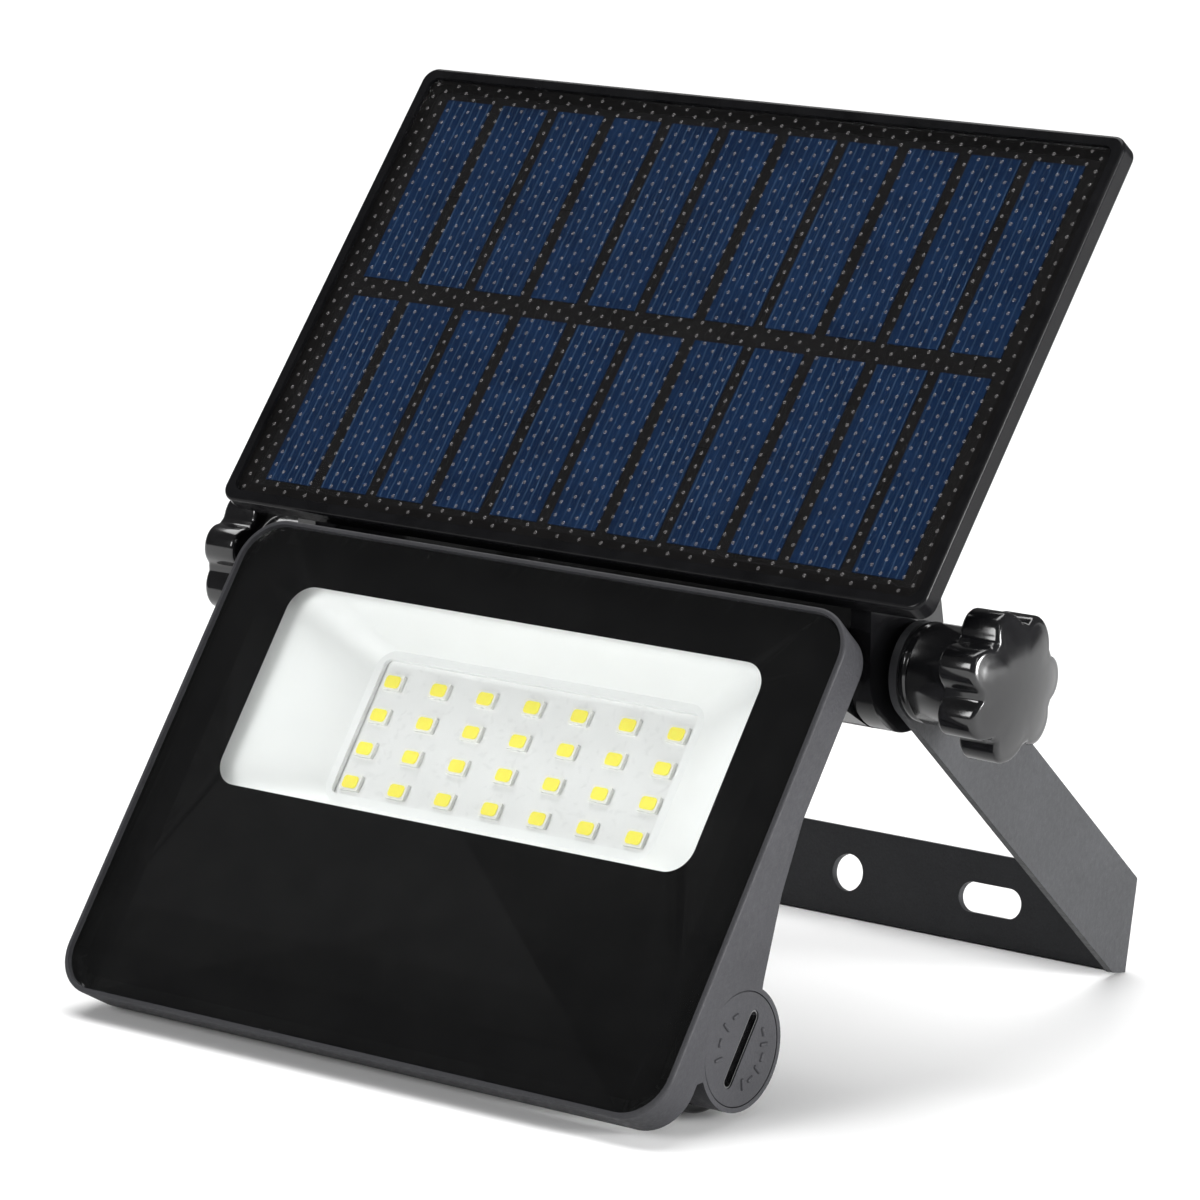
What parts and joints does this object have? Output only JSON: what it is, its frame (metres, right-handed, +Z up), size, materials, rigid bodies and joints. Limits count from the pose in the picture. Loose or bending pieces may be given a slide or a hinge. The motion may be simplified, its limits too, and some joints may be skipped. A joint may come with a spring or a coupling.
{
  "type": "solar flood light",
  "caption": "Solar flood light: a slim rectangular lamp head and a solar panel tilt on one hinge line, held by a steel U bracket with side knobs.",
  "frame": {"origin": "on the ground under the middle of the light, as it stands on its battery tube and bracket", "axes": "+Z up, +X along the hinge line to the right of someone facing the lamp, the lamp shines towards -Y"},
  "size_m": [0.1826, 0.1505, 0.16],
  "materials": {
    "housing": "fine rough powder coat, dark grey",
    "bracket": "fine rough powder coat, dark grey",
    "glass": "clear tempered glass, polished",
    "black_print": "black printed border seen through the glass",
    "black_plastic": "black moulded plastic, semi gloss",
    "black_matte": "black moulded plastic, fine texture",
    "rubber": "black silicone",
    "white_plastic": "white diffuse plastic",
    "white_board": "white solder mask on an aluminium board",
    "led_white": "white moulded package",
    "phosphor": "yellow phosphor gel",
    "steel": "bright nickel plate",
    "zinc": "zinc plate",
    "brass": "turned brass",
    "thermal_grey": "soft grey thermal pad",
    "green_board": "green solder mask",
    "components": "black epoxy packages",
    "cell_wrap": "shrink sleeve over the battery cell",
    "solar_cell": "dark blue silicon with fine silver grid lines",
    "ribbon": "copper ribbon with a black coating",
    "clear_sheet": "clear dimpled laminate"
  },
  "bodies": {
    "bracket": {"mount_bracket": "bracket"},
    "head": {"head_housing": "housing", "front_glass": "glass", "glass_border": "black_print", "glass_gasket": "rubber", "reflector": "white_plastic", "led_board": "white_board", "thermal_pad": "thermal_grey", "led_packages": "led_white", "led_phosphors": "phosphor", "board_screws": "zinc", "controller_board": "green_board", "controller_screws": "zinc", "controller_parts": "components", "board_link_pins": "steel", "battery_tube": "black_plastic", "battery_cells": "cell_wrap", "battery_contact": "steel", "battery_spring": "steel", "switch_body": "components", "switch_collar": "black_matte", "gland_body": "black_matte", "gland_flange": "black_matte", "gland_nut": "black_matte", "hinge_barrel": "black_plastic", "hinge_bolts": "zinc", "hinge_washers": "zinc"},
    "panel": {"panel_frame": "black_plastic", "panel_back_cover": "black_plastic", "panel_screws": "zinc", "cell_backing_board": "black_matte", "clear_cover_sheet": "clear_sheet", "panel_seal": "rubber", "solar_cells": "solar_cell", "cell_ribbons": "ribbon", "junction_board": "green_board", "blocking_diode": "components", "panel_gland": "black_matte"},
    "left_knob_turn": {"left_knob": "black_plastic", "left_knob_insert": "brass"},
    "right_knob_turn": {"right_knob": "black_plastic", "right_knob_insert": "brass"},
    "cap": {"battery_cap": "housing", "cap_insert": "steel", "cap_seal": "rubber", "cap_contact": "steel"},
    "button": {"switch_button": "rubber"}
  },
  "joints": [
    {"name": "head_tilt", "type": "hinge", "parent": "bracket", "child": "head", "pos_m": [0, -0.00018, 0.06991], "axis": [1, 0, 0], "range_deg": [-25, 55]},
    {"name": "panel_tilt", "type": "hinge", "parent": "head", "child": "panel", "pos_m": [0, -0.00018, 0.06991], "axis": [1, 0, 0], "range_deg": [-55, 4]},
    {"name": "left_knob_spin", "type": "hinge", "parent": "head", "child": "left_knob_turn", "pos_m": [0, -0.00018, 0.06991], "axis": [1, 0, 0], "continuous": true},
    {"name": "right_knob_spin", "type": "hinge", "parent": "head", "child": "right_knob_turn", "pos_m": [0, -0.00018, 0.06991], "axis": [1, 0, 0], "continuous": true},
    {"name": "cap_turn", "type": "hinge", "parent": "head", "child": "cap", "pos_m": [0.069, -0.05042, 0.0125], "axis": [1, 0, 0], "range_deg": [0, 90]},
    {"name": "switch_press", "type": "slide", "parent": "head", "child": "button", "axis": [0, -0.8151, 0.5793], "range_m": [0, 0.0012], "stiffness_N_per_m": 400}
  ]
}
